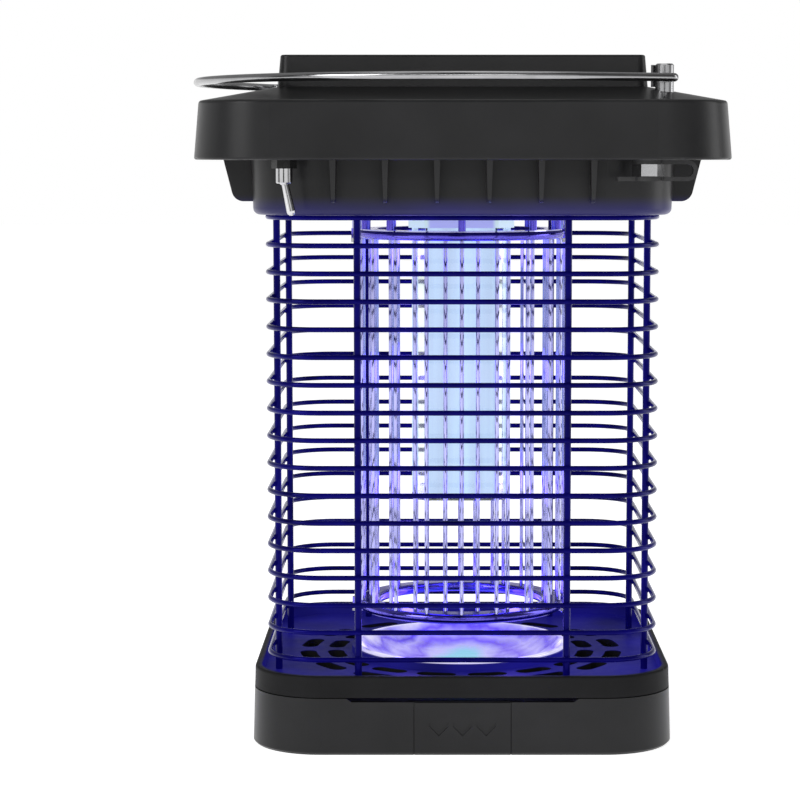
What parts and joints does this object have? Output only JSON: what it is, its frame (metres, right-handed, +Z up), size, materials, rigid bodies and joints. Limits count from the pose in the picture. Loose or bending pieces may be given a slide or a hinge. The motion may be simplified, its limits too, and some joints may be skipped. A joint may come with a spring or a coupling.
{
  "type": "electric bug zapper",
  "caption": "Square solar-topped insect zapper: wire cage round a rod grid and lamp column, funnel deck over a pull-out tray, hinged bail handle.",
  "frame": {"origin": "on the supporting surface under the middle of the square base", "axes": "+Z up; -Y to the front, where the tray pulls out and the switch and charging socket sit; +X to the right"},
  "size_m": [0.1844, 0.1844, 0.2348],
  "materials": {
    "base_plastic": "fine-grained charcoal moulding",
    "head_plastic": "fine-grained charcoal moulding",
    "lid_plastic": "fine-grained charcoal moulding",
    "funnel_chrome": "bright metallised bowl",
    "cage_paint": "glossy black powder coat",
    "zinc_steel": "zinc-plated",
    "black_steel": "black oxide",
    "ring_gloss": "polished, metallised insulating ring",
    "grid_chrome": "polished rod",
    "lamp_clear": "clear tube",
    "lamp_diffuser": "milky light-blue diffuser, lit",
    "core_aluminium": "extruded",
    "board_white": "white solder mask",
    "led_chip": "emitter window",
    "backsheet": "white laminate",
    "solar_cell": "dark blue silicon",
    "panel_clear": "clear laminate",
    "bail_chrome": "polished stainless steel",
    "switch_black": "black moulding",
    "switch_chrome": "nickel-plated",
    "brass_contact": "plated",
    "plug_rubber": "soft black rubber",
    "cell_wrap": "shrink sleeve",
    "board_green": "solder mask",
    "core_tape": "winding tape",
    "capacitor_film": "dipped film capacitor",
    "lead_insulation": "silicone insulation"
  },
  "bodies": {
    "root": {"bail_post_left": "bail_chrome", "bail_post_nuts": "zinc_steel", "bail_post_right": "bail_chrome", "base_deck": "base_plastic", "battery_cells": "cell_wrap", "battery_contacts": "brass_contact", "battery_holder": "switch_black", "board_screws": "zinc_steel", "board_standoffs": "brass_contact", "cage_posts": "cage_paint", "cage_rings": "cage_paint", "capacitors": "capacitor_film", "control_board": "board_green", "control_chips": "switch_black", "diffuser_panels": "lamp_diffuser", "dust_strap": "plug_rubber", "funnel": "funnel_chrome", "grid_bottom_ring": "ring_gloss", "grid_hangers": "ring_gloss", "grid_spacers": "grid_chrome", "grid_stays": "grid_chrome", "grid_top_ring": "ring_gloss", "head_base": "head_plastic", "housing_screws": "zinc_steel", "hv_leads": "lead_insulation", "hv_transformer": "core_tape", "inner_bus_ring": "grid_chrome", "inner_grid_rods": "grid_chrome", "jack_body": "switch_black", "jack_nut": "switch_chrome", "jack_pin": "brass_contact", "lamp_collar": "lamp_clear", "lamp_end_cap": "lamp_clear", "lamp_sleeve": "lamp_clear", "lamp_socket": "head_plastic", "led_boards": "board_white", "led_chips": "led_chip", "led_core": "core_aluminium", "lid": "lid_plastic", "lid_screws": "black_steel", "outer_bus_ring": "grid_chrome", "outer_grid_rods": "grid_chrome", "panel_backsheet": "backsheet", "panel_glass": "panel_clear", "post_nuts": "zinc_steel", "solar_cells": "solar_cell", "solar_housing": "lid_plastic", "stay_nuts": "zinc_steel", "toggle_body": "switch_black", "toggle_bushing": "switch_chrome", "toggle_nut": "switch_black"},
    "tray_drawer": {"tray": "base_plastic", "pull_tab": "base_plastic"},
    "bail": {"bail_handle": "bail_chrome"},
    "toggle": {"toggle_lever": "switch_chrome"},
    "plug": {"dust_plug": "plug_rubber"}
  },
  "joints": [
    {"name": "tray_slide", "type": "slide", "parent": "root", "child": "tray_drawer", "axis": [0, -1, 0], "range_m": [0, 0.12]},
    {"name": "bail_swing", "type": "hinge", "parent": "root", "child": "bail", "pos_m": [0, 0, 0.227], "axis": [-0.7071, 0.7071, 0], "range_deg": [0, 180]},
    {"name": "toggle_throw", "type": "hinge", "parent": "root", "child": "toggle", "pos_m": [-0.0585, -0.08, 0.1934], "axis": [0, 1, 0], "range_deg": [0, 24.2]},
    {"name": "dust_plug_pull", "type": "slide", "parent": "root", "child": "plug", "axis": [0, 0, -1], "range_m": [0, 0.006], "deforming": ["dust_strap"]}
  ]
}
